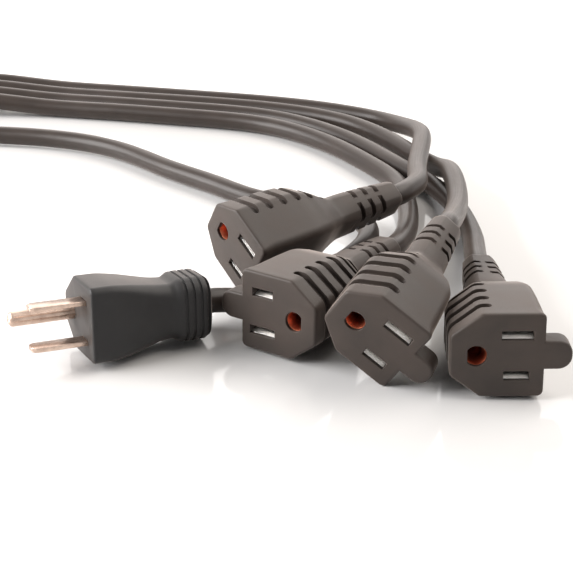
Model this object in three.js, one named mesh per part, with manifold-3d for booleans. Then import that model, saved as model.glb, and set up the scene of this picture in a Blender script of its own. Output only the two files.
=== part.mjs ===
// Power cord splitter: one moulded plug, a lead, a moulded junction and four tails with receptacles.
// Millimetres, +Z up. The parts lie on the plane z = 0 as they were laid out for the photograph.
// Each connector is built in its own frame: x towards the ground pin, y across the blades,
// z out of the mating face. The housing runs from z = 0 back along -z to the cord.
import * as THREE from 'three';
import { mergeVertices } from 'three/addons/utils/BufferGeometryUtils.js';
import Module from 'manifold-3d';

const wasm = await Module();
wasm.setup();

// Clearances
const SEAT_GAP = 0.3;

// Blade and pin pattern, shared by the plug and the receptacles
const BLADE_SPACING = 12.7;
const GROUND_OFFSET = 11.9;
const BLADE_WIDTH = 6.3;
const BLADE_THICKNESS = 1.5;
const BLADE_LENGTH = 17.2;
const BLADE_TIP = 1.6;
const PIN_RADIUS = 2.4;
const PIN_LENGTH = 21.0;
const PIN_TIP = 1.7;
const BLADE_ROOT = 8.0;

// Cord
const CORD_RADIUS = 4.0;
const CORD_SIDES = 8;
const CORD_STEP = 11.0;
const CORD_AXIS_X = 3.0;

// Receptacle housing
const FACE_HALF_HEIGHT = 13.1;
const FACE_BACK = 8.0;
const FACE_CHAMFER_X = 10.6;
const FACE_FRONT = 19.6;
const FACE_FRONT_HALF = 6.2;
const EDGE_ROUND = 0.8;
const BODY_STRAIGHT = 24.0;
const BODY_LENGTH = 42.0;
const NECK_HALF = 7.2;
const RELIEF_LENGTH = 30.0;
const RELIEF_HALF = 7.6;
const RELIEF_END_HALF = 6.2;
const HOUSING_LENGTH = BODY_LENGTH + RELIEF_LENGTH;

// Tab on the side away from the ground hole
const TAB_LENGTH = 8.0;
const TAB_HALF_WIDTH = 4.45;
const TAB_DEPTH = 7.0;

// Grip grooves round the ground side
const GROOVE_COUNT = 6;
const GROOVE_PITCH = 6.1;
const GROOVE_FIRST = 6.9;
const GROOVE_WIDTH = 2.2;
const GROOVE_DEPTH = 0.9;
const GROOVE_START_X = 5.6;

// Slots of the strain reliefs
const RELIEF_SLOTS = 3;
const RELIEF_SLOT_PITCH = 5.2;
const RELIEF_SLOT_FIRST = 9.5;
const RELIEF_SLOT_WIDTH = 2.0;
const RELIEF_SLOT_DEPTH = 1.9;
const RELIEF_POST = 2.0;

// Openings in the receptacle face
const SLOT_WIDTH = 2.9;
const HOT_SLOT_LENGTH = 7.7;
const NEUTRAL_SLOT_LENGTH = 9.4;
const SLOT_DEPTH = 18.0;
const GROUND_BORE = 3.25;
const GROUND_FLAT = 2.55;
const GROUND_LIP = 1.5;
const GROUND_DEPTH = 22.0;

// Contacts
const CONTACT_SHEET = 0.45;
const CONTACT_SETBACK = 1.4;

// Plug housing
const PLUG_HALF_HEIGHT = 12.0;
const PLUG_BACK = 8.6;
const PLUG_CHAMFER_X = 10.4;
const PLUG_FRONT = 20.4;
const PLUG_FRONT_HALF = 4.6;
const PLUG_STRAIGHT = 5.5;
const PLUG_TAPER = 27.5;
const PLUG_WAIST_HALF = 8.9;
const COLLAR_LENGTH = 13.0;
const COLLAR_HALF = 10.3;
const COLLAR_RIBS = 4;
const COLLAR_RIB_PITCH = 2.5;
const COLLAR_RIB_WIDTH = 1.0;
const COLLAR_RIB_DEPTH = 0.6;

// Junction block
const TAIL_PITCH = 11.5;
const TAIL_COUNT = 4;
const JUNCTION_LENGTH = 34.0;
const JUNCTION_MARGIN = 7.5;
const JUNCTION_LEAD_WIDTH = 26.0;
const JUNCTION_HEIGHT = 15.0;
const JUNCTION_ROUND = 3.5;
const STUB_RADIUS = 5.6;
const STUB_END_RADIUS = 4.9;
const TAIL_STUB_LENGTH = 20.0;
const LEAD_STUB_LENGTH = 26.0;
const STUB_RADIUS_LEAD = 6.6;
const STUB_SIDES = 10;
const STUB_RING_WIDTH = 1.6;
const STUB_RING_PITCH = 6.5;
const BORE_DEPTH = 9.0;
const CAVITY_LENGTH = 22.0;
const CAVITY_HEIGHT = 8.0;
const SPLICE_LENGTH = 12.0;
const SPLICE_RADIUS = 2.2;
const SPLICE_PITCH = 8.0;
const SPLICE_WALL = 0.6;

// Places on the surface, as laid out for the photograph
const LAYOUT_CENTRE = new THREE.Vector2(-75.035, 500.217);
const JUNCTION_PLACE = new THREE.Vector2(-190, 640);
const RECEPTACLES = [
  { name: 'receptacle_1', x: -15.5, y: 408.5, yaw: -51.6, tilt: 2.4, roll: 213.4 },
  { name: 'receptacle_2', x: -7.5, y: 365.7, yaw: -34.4, tilt: -2.6, roll: -0.7 },
  { name: 'receptacle_3', x: 29.3, y: 342.4, yaw: -21.4, tilt: 6.4, roll: 215.4 },
  { name: 'receptacle_4', x: 66.8, y: 336.4, yaw: -1.2, tilt: -2.8, roll: 178.9 },
];
const PLUG_PLACE = { name: 'plug', x: -62.0, y: 361.0, yaw: -64.8, tilt: -3.2, roll: 172.0 };

// Cord routes from the connectors to the junction, chosen by hand: x, y, z of the centre line
const TAIL_ROUTES = {
  receptacle_1: [
    [46.2, 464.5, 18.8], [50, 473.5, 17.4], [51.6, 484, 15.8], [52.2, 495, 14.4], [53.2, 506, 13.5],
    [55, 519, 12.9],
    [57.5, 535, 12.7], [59.5, 550, 12.4], [59, 565, 10], [54.5, 583, 6.5], [43.5, 601, 4.3],
    [26, 612.5, 4.3], [8, 621, 4.3], [-12, 628, 4.3], [-40, 635.5, 4.3], [-80, 645.5, 4.3],
    [-115, 654, 4.3],
  ],
  receptacle_2: [
    [43, 444, 7.4], [46, 461, 5], [47.6, 478, 4.3], [47.8, 494, 4.3], [46.8, 506, 4.3],
    [44, 517, 4.3], [40, 526, 4.3], [35.2, 535.5, 4.3], [27.5, 550, 4.3], [17, 566, 4.3],
    [3, 581.5, 4.3], [-10, 591.5, 4.3], [-26, 598.5, 4.3], [-50, 605, 4.3], [-80, 612.5, 4.3],
    [-115, 620, 4.3],
  ],
  receptacle_3: [
    [57.5, 427, 20.5], [61, 443, 17], [64, 459, 14.2], [66, 475, 12.9], [66.8, 490, 12.8],
    [66.6, 503, 12.4], [65.8, 516, 9], [63.6, 529, 5.2], [59, 541, 4.3], [53.5, 553, 4.3],
    [48.5, 565, 4.3], [42, 577, 4.3], [33, 590, 4.3], [21, 601, 4.3], [7, 609.5, 4.3],
    [-12, 617.5, 4.3], [-40, 625.5, 4.3], [-80, 634.5, 4.3], [-115, 643, 4.3],
  ],
  receptacle_4: [
    [67, 430, 7.6], [69, 447, 5.2], [69, 464, 4.2], [67.5, 481, 4.3], [64.2, 496, 4.3],
    [59.8, 509, 4.3], [54.6, 519.5, 4.3], [49, 530, 4.3], [43.6, 541, 4.3], [37.5, 553, 4.3],
    [30, 566, 4.3], [21.5, 577.5, 4.3], [11.5, 588.5, 4.3], [-1, 599, 4.3], [-20, 608.5, 4.3],
    [-47, 616, 4.3], [-80, 624, 4.3], [-115, 632, 4.3],
  ],
};
const LEAD_ROUTE = [
  [-15, 387.3, 8.4], [-2.6, 395.5, 5.2], [8, 411, 4.3], [15, 420.5, 4.3], [21.2, 429.5, 4.3],
  [27, 440, 4.3], [30.8, 451, 4.3], [31, 463, 4.3], [26, 474, 4.3], [16, 481.5, 4.3],
  [3, 485, 4.3], [-9, 489.5, 4.3], [-20, 499, 4.3], [-29, 509, 4.3], [-41, 520, 4.3],
  [-52, 530.5, 4.3], [-62, 542, 4.3], [-74, 554, 4.3], [-90, 564.5, 4.3], [-112, 572.5, 4.3],
  [-140, 577, 4.3], [-172, 578, 4.3], [-206, 578, 4.3], [-228, 578.8, 4.3], [-246.5, 584.8, 4.3],
  [-259, 596, 4.5], [-264, 610, 5], [-261.5, 624, 5.8], [-253.5, 634.5, 6.6],
];
const LEAD_OUT = 3.0;
const CORD_LEVEL = JUNCTION_HEIGHT / 2;

// Materials
const plastic = (name, color, roughness) => {
  const material = new THREE.MeshStandardMaterial({ color, roughness, metalness: 0 });
  material.name = name;
  return material;
};
const metal = (name, color, roughness) => {
  const material = new THREE.MeshStandardMaterial({ color, roughness, metalness: 1 });
  material.name = name;
  return material;
};
const blackHousing = () => plastic('housing', 0x1b1a1b, 0.42);
const blackCord = () => plastic('cord', 0x171617, 0.36);
const nickel = () => metal('blade', 0xc8b8a6, 0.28);
const silver = () => metal('contact', 0xcfcac4, 0.24);
const copper = () => metal('ground_contact', 0xb5653a, 0.3);

// Solids for cutting and joining
function toSolid(geometry) {
  const bare = geometry.clone();
  bare.deleteAttribute('normal');
  bare.deleteAttribute('uv');
  const merged = mergeVertices(bare, 1e-5);
  return new wasm.Manifold(new wasm.Mesh({
    numProp: 3,
    vertProperties: new Float32Array(merged.attributes.position.array),
    triVerts: new Uint32Array(merged.index.array),
  }));
}

function toGeometry(solid) {
  const mesh = solid.getMesh();
  const geometry = new THREE.BufferGeometry();
  geometry.setAttribute('position', new THREE.BufferAttribute(mesh.vertProperties, 3));
  geometry.setIndex(new THREE.BufferAttribute(mesh.triVerts, 1));
  geometry.computeVertexNormals();
  return geometry;
}

function placed(geometry, x, y, z) {
  return geometry.clone().translate(x, y, z);
}

function box(sizeX, sizeY, sizeZ, x, y, z) {
  return placed(new THREE.BoxGeometry(sizeX, sizeY, sizeZ), x, y, z);
}

// A closed outline from corners [x, y, radius], with the same number of points for every corner
const CORNER_STEPS = 2;
function roundedOutline(corners) {
  const points = [];
  corners.forEach(([x, y, radius], i) => {
    const corner = new THREE.Vector2(x, y);
    const before = corners[(i + corners.length - 1) % corners.length];
    const after = corners[(i + 1) % corners.length];
    const a = new THREE.Vector2(before[0], before[1]).sub(corner).normalize();
    const b = new THREE.Vector2(after[0], after[1]).sub(corner).normalize();
    const half = Math.acos(THREE.MathUtils.clamp(a.dot(b), -1, 1)) / 2;
    const middle = a.clone().add(b).normalize();
    const centre = corner.clone().addScaledVector(middle, radius / Math.sin(half));
    const from = corner.clone().addScaledVector(a, radius / Math.tan(half)).sub(centre);
    const to = corner.clone().addScaledVector(b, radius / Math.tan(half)).sub(centre);
    const start = from.angle();
    let turn = to.angle() - start;
    if (turn > Math.PI) turn -= 2 * Math.PI;
    if (turn < -Math.PI) turn += 2 * Math.PI;
    for (let k = 0; k <= CORNER_STEPS; k += 1) {
      const angle = start + (turn * k) / CORNER_STEPS;
      points.push(new THREE.Vector2(Math.cos(angle), Math.sin(angle)).multiplyScalar(radius).add(centre));
    }
  });
  return points;
}

// A skin through sections { z, outline } that run from the highest z to the lowest
function loft(sections) {
  const count = sections[0].outline.length;
  const positions = [];
  sections.forEach(({ z, outline }) => outline.forEach((p) => positions.push(p.x, p.y, z)));
  const index = [];
  for (let s = 0; s + 1 < sections.length; s += 1) {
    for (let i = 0; i < count; i += 1) {
      const j = (i + 1) % count;
      const upper = s * count;
      const lower = upper + count;
      index.push(upper + i, lower + i, upper + j, upper + j, lower + i, lower + j);
    }
  }
  const last = (sections.length - 1) * count;
  THREE.ShapeUtils.triangulateShape(sections[0].outline, []).forEach(([a, b, c]) => index.push(a, b, c));
  THREE.ShapeUtils.triangulateShape(sections[sections.length - 1].outline, [])
    .forEach(([a, b, c]) => index.push(last + c, last + b, last + a));
  const geometry = new THREE.BufferGeometry();
  geometry.setAttribute('position', new THREE.Float32BufferAttribute(positions, 3));
  geometry.setIndex(index);
  return geometry;
}

function extrude(outline, depth) {
  return new THREE.ExtrudeGeometry(new THREE.Shape(outline), { depth, bevelEnabled: false });
}

// Housing sections: a back side, two long flats, two chamfers and a front end, all seen along z
function sixSided(back, half, chamferX, front, frontHalf, radius, inset = 0) {
  const h = half - inset;
  const chamferShift = inset * 0.4;
  return roundedOutline([
    [-back + inset, -h, radius],
    [chamferX - chamferShift, -h, radius],
    [front - inset, -frontHalf + chamferShift, radius],
    [front - inset, frontHalf - chamferShift, radius],
    [chamferX - chamferShift, h, radius],
    [-back + inset, h, radius],
  ]);
}

// The same six corners drawn in to a rounded square round the cord
function neckOutline(half, radius) {
  const cut = half * 0.42;
  return roundedOutline([
    [CORD_AXIS_X - half, -half, radius],
    [CORD_AXIS_X + half - cut, -half, radius],
    [CORD_AXIS_X + half, -half + cut, radius],
    [CORD_AXIS_X + half, half - cut, radius],
    [CORD_AXIS_X + half - cut, half, radius],
    [CORD_AXIS_X - half, half, radius],
  ]);
}

function mixed(a, b, share) {
  return a.map((p, i) => p.clone().lerp(b[i], share));
}

function receptacleSkin(inset) {
  const face = sixSided(FACE_BACK, FACE_HALF_HEIGHT, FACE_CHAMFER_X, FACE_FRONT, FACE_FRONT_HALF, 2.2, inset);
  const rim = sixSided(FACE_BACK, FACE_HALF_HEIGHT, FACE_CHAMFER_X, FACE_FRONT, FACE_FRONT_HALF, 1.7,
    inset + EDGE_ROUND);
  const neck = neckOutline(NECK_HALF - inset, 2.6);
  const relief = neckOutline(RELIEF_HALF - inset, 3.0);
  const reliefEnd = neckOutline(RELIEF_END_HALF - inset, 3.4);
  const tapered = BODY_LENGTH - BODY_STRAIGHT;
  return loft([
    { z: 0, outline: rim },
    { z: -EDGE_ROUND, outline: face },
    { z: -BODY_STRAIGHT, outline: mixed(face, neck, 0.05) },
    { z: -BODY_STRAIGHT - tapered * 0.4, outline: mixed(face, neck, 0.28) },
    { z: -BODY_STRAIGHT - tapered * 0.75, outline: mixed(face, neck, 0.72) },
    { z: -BODY_LENGTH, outline: neck },
    { z: -BODY_LENGTH - 3, outline: relief },
    { z: -HOUSING_LENGTH + 2.5, outline: reliefEnd },
    { z: -HOUSING_LENGTH, outline: neckOutline(RELIEF_END_HALF - inset - 0.9, 3.0) },
  ]);
}

// Prisms with one round end, seen along y, that the grip grooves are cut with
function grooveCutters() {
  const half = GROOVE_WIDTH / 2;
  const reach = FACE_FRONT + 5;
  const tall = 2 * FACE_HALF_HEIGHT + 10;
  const cutters = [];
  for (let i = 0; i < GROOVE_COUNT; i += 1) {
    const shape = new THREE.Shape();
    shape.moveTo(reach, -half);
    shape.lineTo(reach, half);
    shape.lineTo(GROOVE_START_X + half, half);
    shape.absarc(GROOVE_START_X + half, 0, half, Math.PI / 2, 1.5 * Math.PI, false);
    const prism = new THREE.ExtrudeGeometry(shape, { depth: tall, bevelEnabled: false, curveSegments: 2 });
    prism.rotateX(Math.PI / 2);
    prism.translate(0, tall / 2, -GROOVE_FIRST - i * GROOVE_PITCH);
    cutters.push(toSolid(prism));
  }
  return cutters.reduce((all, one) => all.add(one));
}

function reliefHalfAt(depth) {
  const share = THREE.MathUtils.clamp((depth - 3) / (RELIEF_LENGTH - 5.5), 0, 1);
  return THREE.MathUtils.lerp(RELIEF_HALF, RELIEF_END_HALF, share);
}

// Slots on the four sides of a receptacle's strain relief
function reliefCutters() {
  const cutters = [];
  for (let i = 0; i < RELIEF_SLOTS; i += 1) {
    const depth = RELIEF_SLOT_FIRST + i * RELIEF_SLOT_PITCH;
    const half = reliefHalfAt(depth);
    const across = 2 * (half - RELIEF_POST);
    const centre = half + 2 - RELIEF_SLOT_DEPTH;
    const z = -BODY_LENGTH - depth;
    [-1, 1].forEach((side) => {
      cutters.push(box(4, across, RELIEF_SLOT_WIDTH, CORD_AXIS_X + side * centre, 0, z));
      cutters.push(box(across, 4, RELIEF_SLOT_WIDTH, CORD_AXIS_X, side * centre, z));
    });
  }
  return cutters.map(toSolid);
}

function tabSolid() {
  const reach = FACE_BACK + TAB_LENGTH;
  const round = TAB_HALF_WIDTH - 0.4;
  const root = -FACE_BACK + 3;
  const outline = (inset) => roundedOutline([
    [-reach + inset, -TAB_HALF_WIDTH + inset, round - inset],
    [root, -TAB_HALF_WIDTH + inset, 0.3],
    [root, TAB_HALF_WIDTH - inset, 0.3],
    [-reach + inset, TAB_HALF_WIDTH - inset, round - inset],
  ]);
  return toSolid(loft([
    { z: 0, outline: outline(EDGE_ROUND) },
    { z: -EDGE_ROUND, outline: outline(0) },
    { z: -TAB_DEPTH + EDGE_ROUND, outline: outline(0) },
    { z: -TAB_DEPTH, outline: outline(EDGE_ROUND) },
  ]));
}

// A circle cut flat on its outer side, which is the mouth of the ground opening
function groundMouth() {
  const limit = Math.acos(GROUND_FLAT / GROUND_BORE);
  const shape = new THREE.Shape();
  shape.absarc(0, 0, GROUND_BORE, limit, 2 * Math.PI - limit, false);
  const mouth = new THREE.ExtrudeGeometry(shape, { depth: GROUND_LIP + 2, bevelEnabled: false, curveSegments: 8 });
  return toSolid(mouth.translate(GROUND_OFFSET, 0, -GROUND_LIP));
}

function bore(radius, from, to, x, y, sides = 12) {
  const geometry = new THREE.CylinderGeometry(radius, radius, from - to, sides);
  return toSolid(geometry.rotateX(Math.PI / 2).translate(x, y, (from + to) / 2));
}

const SLOTS = [
  { name: 'hot', y: BLADE_SPACING / 2, length: HOT_SLOT_LENGTH },
  { name: 'neutral', y: -BLADE_SPACING / 2, length: NEUTRAL_SLOT_LENGTH },
];

function receptacleHousing() {
  const grooves = grooveCutters().subtract(toSolid(receptacleSkin(GROOVE_DEPTH)));
  let body = toSolid(receptacleSkin(0)).subtract(grooves).add(tabSolid());
  reliefCutters().forEach((cutter) => {
    body = body.subtract(cutter);
  });
  SLOTS.forEach(({ y, length }) => {
    body = body.subtract(toSolid(box(length, SLOT_WIDTH, SLOT_DEPTH * 2, 0, y, 0)));
  });
  body = body.subtract(groundMouth());
  return body.subtract(bore(GROUND_BORE, -GROUND_LIP, -GROUND_DEPTH, GROUND_OFFSET, 0));
}

// Two leaves joined at the bottom, which grip a blade between them
function bladeContact(length) {
  const half = SLOT_WIDTH / 2 - SEAT_GAP;
  const inner = half - CONTACT_SHEET;
  const bottom = -SLOT_DEPTH + SEAT_GAP;
  const shape = new THREE.Shape([
    new THREE.Vector2(-half, -CONTACT_SETBACK),
    new THREE.Vector2(-half, bottom),
    new THREE.Vector2(half, bottom),
    new THREE.Vector2(half, -CONTACT_SETBACK),
    new THREE.Vector2(inner, -CONTACT_SETBACK),
    new THREE.Vector2(inner * 0.72, -CONTACT_SETBACK - 2.4),
    new THREE.Vector2(inner, bottom + CONTACT_SHEET),
    new THREE.Vector2(-inner, bottom + CONTACT_SHEET),
    new THREE.Vector2(-inner * 0.72, -CONTACT_SETBACK - 2.4),
    new THREE.Vector2(-inner, -CONTACT_SETBACK),
  ]);
  const reach = length - 2 * SEAT_GAP;
  const strip = new THREE.ExtrudeGeometry(shape, { depth: reach, bevelEnabled: false });
  // the profile's x becomes y and its y becomes z
  strip.applyMatrix4(new THREE.Matrix4().set(0, 0, 1, -reach / 2, 1, 0, 0, 0, 0, 1, 0, 0, 0, 0, 0, 1));
  return strip;
}

function groundContact() {
  const outer = GROUND_BORE - SEAT_GAP;
  const inner = PIN_RADIUS + 0.05;
  const top = -GROUND_LIP - SEAT_GAP;
  const bottom = -GROUND_DEPTH + SEAT_GAP;
  const profile = [
    [0, bottom], [outer, bottom], [outer, top], [inner + 0.15, top], [inner, top - 1.2],
    [inner, bottom + CONTACT_SHEET], [0, bottom + CONTACT_SHEET],
  ].map(([r, y]) => new THREE.Vector2(r, y));
  return new THREE.LatheGeometry(profile, 12).rotateX(Math.PI / 2);
}

function addMesh(group, name, geometry, material) {
  const mesh = new THREE.Mesh(geometry, material);
  mesh.name = name;
  group.add(mesh);
  return mesh;
}

// Stands a connector at its place, turned as it lies, with its lowest point on the surface
function lay(group, place) {
  const rotation = ['z', 'x', 'y'].map((axis, i) => {
    const angle = THREE.MathUtils.degToRad([place.yaw, place.tilt, place.roll][i]);
    return new THREE.Quaternion().setFromAxisAngle(new THREE.Vector3(
      Number(axis === 'x'), Number(axis === 'y'), Number(axis === 'z')), angle);
  });
  const upright = new THREE.Quaternion().setFromAxisAngle(new THREE.Vector3(1, 0, 0), Math.PI / 2);
  group.quaternion.copy(rotation[0]).multiply(rotation[1]).multiply(rotation[2]).multiply(upright);
  group.position.set(place.x - LAYOUT_CENTRE.x, place.y - LAYOUT_CENTRE.y, 0);
  group.updateMatrixWorld(true);
  group.position.z = -new THREE.Box3().setFromObject(group, true).min.z;
  group.updateMatrixWorld(true);
}

function buildReceptacle(place, housing) {
  const group = new THREE.Group();
  addMesh(group, `${place.name}_housing`, housing.clone(), blackHousing());
  SLOTS.forEach(({ name, y, length }) => {
    addMesh(group, `${place.name}_${name}_contact`, placed(bladeContact(length), 0, y, 0), silver());
  });
  addMesh(group, `${place.name}_ground_contact`, placed(groundContact(), GROUND_OFFSET, 0, 0), copper());
  lay(group, place);
  return group;
}

// Plug
function plugSkin(inset) {
  const face = sixSided(PLUG_BACK, PLUG_HALF_HEIGHT, PLUG_CHAMFER_X, PLUG_FRONT, PLUG_FRONT_HALF, 2.4, inset);
  const rim = sixSided(PLUG_BACK, PLUG_HALF_HEIGHT, PLUG_CHAMFER_X, PLUG_FRONT, PLUG_FRONT_HALF, 2.0,
    inset + EDGE_ROUND);
  const rimMiddle = sixSided(PLUG_BACK, PLUG_HALF_HEIGHT, PLUG_CHAMFER_X, PLUG_FRONT, PLUG_FRONT_HALF, 2.2,
    inset + EDGE_ROUND * 0.3);
  const waist = neckOutline(PLUG_WAIST_HALF - inset, 4.4);
  const collar = neckOutline(COLLAR_HALF - inset, 5.4);
  const taper = PLUG_TAPER - PLUG_STRAIGHT;
  const collarEnd = -PLUG_TAPER - COLLAR_LENGTH;
  return loft([
    { z: 0, outline: rim },
    { z: -EDGE_ROUND * 0.3, outline: rimMiddle },
    { z: -EDGE_ROUND, outline: face },
    { z: -PLUG_STRAIGHT, outline: face },
    { z: -PLUG_STRAIGHT - taper * 0.3, outline: mixed(face, waist, 0.22) },
    { z: -PLUG_STRAIGHT - taper * 0.6, outline: mixed(face, waist, 0.62) },
    { z: -PLUG_STRAIGHT - taper * 0.85, outline: mixed(face, waist, 0.93) },
    { z: -PLUG_TAPER, outline: waist },
    { z: -PLUG_TAPER - 2.2, outline: mixed(waist, collar, 0.85) },
    { z: -PLUG_TAPER - 4, outline: collar },
    { z: collarEnd + 3, outline: collar },
    { z: collarEnd + 1, outline: mixed(collar, waist, 0.7) },
    { z: collarEnd, outline: neckOutline(PLUG_WAIST_HALF - 1.6 - inset, 4.2) },
  ]);
}

function plugHousing() {
  let ribs = null;
  const span = 4 * COLLAR_HALF;
  for (let i = 0; i < COLLAR_RIBS; i += 1) {
    const z = -PLUG_TAPER - 3.6 - i * COLLAR_RIB_PITCH;
    const slab = toSolid(box(span, span, COLLAR_RIB_WIDTH, CORD_AXIS_X, 0, z));
    ribs = ribs ? ribs.add(slab) : slab;
  }
  let body = toSolid(plugSkin(0)).subtract(ribs.subtract(toSolid(plugSkin(COLLAR_RIB_DEPTH))));
  SLOTS.forEach(({ y }) => {
    const pocket = box(BLADE_WIDTH + 2 * SEAT_GAP, BLADE_THICKNESS + 2 * SEAT_GAP, 2 * BLADE_ROOT, 0, y, 0);
    body = body.subtract(toSolid(pocket));
  });
  return body.subtract(bore(PIN_RADIUS + SEAT_GAP, 2, -BLADE_ROOT, GROUND_OFFSET, 0));
}

function blade() {
  const half = BLADE_WIDTH / 2;
  const root = -BLADE_ROOT + SEAT_GAP;
  const shape = new THREE.Shape([
    new THREE.Vector2(-half, root),
    new THREE.Vector2(half, root),
    new THREE.Vector2(half, BLADE_LENGTH - BLADE_TIP),
    new THREE.Vector2(half - BLADE_TIP * 0.7, BLADE_LENGTH),
    new THREE.Vector2(-half + BLADE_TIP * 0.7, BLADE_LENGTH),
    new THREE.Vector2(-half, BLADE_LENGTH - BLADE_TIP),
  ]);
  const edge = 0.25;
  const flat = new THREE.ExtrudeGeometry(shape, {
    depth: BLADE_THICKNESS - 2 * edge, bevelEnabled: true, bevelThickness: edge, bevelSize: edge,
    bevelOffset: -edge, bevelSegments: 1,
  });
  return flat.rotateX(Math.PI / 2).translate(0, BLADE_THICKNESS / 2 - edge, 0);
}

function groundPin() {
  const root = -BLADE_ROOT + SEAT_GAP;
  const profile = [[0, root], [PIN_RADIUS, root]];
  const steps = 5;
  for (let i = 0; i <= steps; i += 1) {
    const angle = (i / steps) * (Math.PI / 2);
    profile.push([PIN_RADIUS * Math.cos(angle), PIN_LENGTH - PIN_TIP * (1 - Math.sin(angle))]);
  }
  profile[profile.length - 1][0] = 0;
  const points = profile.map(([r, y]) => new THREE.Vector2(r, y));
  return new THREE.LatheGeometry(points, 16).rotateX(Math.PI / 2);
}

function buildPlug() {
  const group = new THREE.Group();
  addMesh(group, 'plug_housing', toGeometry(plugHousing()), blackHousing());
  // the plug is the mirror image of a receptacle, so its hot blade is on the other side
  addMesh(group, 'plug_neutral_blade', placed(blade(), 0, BLADE_SPACING / 2, 0), nickel());
  addMesh(group, 'plug_hot_blade', placed(blade(), 0, -BLADE_SPACING / 2, 0), nickel());
  addMesh(group, 'plug_ground_pin', placed(groundPin(), GROUND_OFFSET, 0, 0), nickel());
  lay(group, PLUG_PLACE);
  return group;
}

// Junction, built with x towards the tails
const tailY = (i) => ((TAIL_COUNT - 1) / 2 - i) * TAIL_PITCH;

function stub(radius, endRadius, length, toward, y) {
  const profile = [[0, -4], [radius, -4], [radius, 0]];
  const rings = Math.floor((length - 5) / STUB_RING_PITCH);
  for (let i = 0; i < rings; i += 1) {
    const from = 3 + i * STUB_RING_PITCH;
    const wide = THREE.MathUtils.lerp(radius, endRadius, from / length);
    profile.push([wide, from], [endRadius - 0.15, from], [endRadius - 0.15, from + STUB_RING_WIDTH],
      [wide - 0.05, from + STUB_RING_WIDTH]);
  }
  profile.push([endRadius, length], [0, length]);
  const points = profile.map(([r, along]) => new THREE.Vector2(r, along));
  const geometry = new THREE.LatheGeometry(points, STUB_SIDES);
  geometry.rotateZ(-toward * (Math.PI / 2));
  return toSolid(geometry.translate(toward * JUNCTION_LENGTH / 2, y, CORD_LEVEL));
}

function crossBore(radius, fromX, toX, y) {
  const geometry = new THREE.CylinderGeometry(radius, radius, Math.abs(toX - fromX), STUB_SIDES);
  return toSolid(geometry.rotateZ(Math.PI / 2).translate((fromX + toX) / 2, y, CORD_LEVEL));
}

function junctionBlock() {
  const wide = (TAIL_COUNT - 1) * TAIL_PITCH + 2 * JUNCTION_MARGIN;
  const end = JUNCTION_LENGTH / 2;
  const outline = (inset) => roundedOutline([
    [-end + inset, -JUNCTION_LEAD_WIDTH / 2 + inset, 4],
    [0, -wide / 2 + inset, 6],
    [end - inset, -wide / 2 + inset, 3],
    [end - inset, wide / 2 - inset, 3],
    [0, wide / 2 - inset, 6],
    [-end + inset, JUNCTION_LEAD_WIDTH / 2 - inset, 4],
  ]);
  const edge = [0, 1, 2].map((i) => {
    const angle = (i / 2) * (Math.PI / 2);
    return { down: JUNCTION_ROUND * (1 - Math.cos(angle)), inset: JUNCTION_ROUND * (1 - Math.sin(angle)) };
  });
  return toSolid(loft([
    ...edge.map(({ down, inset }) => ({ z: JUNCTION_HEIGHT - down, outline: outline(inset) })),
    ...edge.reverse().map(({ down, inset }) => ({ z: down, outline: outline(inset) })),
  ]));
}

function junctionHousing() {
  const end = JUNCTION_LENGTH / 2;
  let body = junctionBlock();
  body = body.add(stub(STUB_RADIUS_LEAD, STUB_END_RADIUS, LEAD_STUB_LENGTH, -1, 0));
  const cavityEnd = CAVITY_LENGTH / 2;
  const clear = CORD_RADIUS + SEAT_GAP;
  const tipX = end + TAIL_STUB_LENGTH;
  for (let i = 0; i < TAIL_COUNT; i += 1) {
    const y = tailY(i);
    body = body.add(stub(STUB_RADIUS, STUB_END_RADIUS, TAIL_STUB_LENGTH, 1, y));
    body = body.subtract(crossBore(clear, tipX + 1, tipX - BORE_DEPTH, y));
    body = body.subtract(crossBore(clear - 1.6, tipX, cavityEnd - 1, y));
  }
  const leadTip = -end - LEAD_STUB_LENGTH;
  body = body.subtract(crossBore(clear, leadTip - 1, leadTip + BORE_DEPTH, 0));
  body = body.subtract(crossBore(clear - 1.6, leadTip, -cavityEnd + 1, 0));
  const cavityWidth = (TAIL_COUNT - 1) * TAIL_PITCH + 2 * (clear - 1.6);
  const cavity = roundedOutline([
    [-cavityEnd, -JUNCTION_LEAD_WIDTH / 2 + 3, 1],
    [0, -cavityWidth / 2, 2],
    [cavityEnd, -cavityWidth / 2, 1],
    [cavityEnd, cavityWidth / 2, 1],
    [0, cavityWidth / 2, 2],
    [-cavityEnd, JUNCTION_LEAD_WIDTH / 2 - 3, 1],
  ]);
  const cavityTop = CORD_LEVEL + CAVITY_HEIGHT / 2;
  return body.subtract(toSolid(extrude(cavity, CAVITY_HEIGHT).translate(0, 0, cavityTop - CAVITY_HEIGHT)));
}

// A crimped barrel that joins one conductor of the lead to the same conductor of each tail
function splice() {
  const half = SPLICE_LENGTH / 2;
  const inner = SPLICE_RADIUS - SPLICE_WALL;
  const profile = [
    [inner, -half], [SPLICE_RADIUS, -half], [SPLICE_RADIUS, -half * 0.5], [SPLICE_RADIUS * 0.86, -half * 0.3],
    [SPLICE_RADIUS * 0.86, half * 0.3], [SPLICE_RADIUS, half * 0.5], [SPLICE_RADIUS, half], [inner, half],
    [inner, -half],
  ].map(([r, y]) => new THREE.Vector2(r, y));
  return new THREE.LatheGeometry(profile, 10).rotateZ(Math.PI / 2);
}

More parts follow.
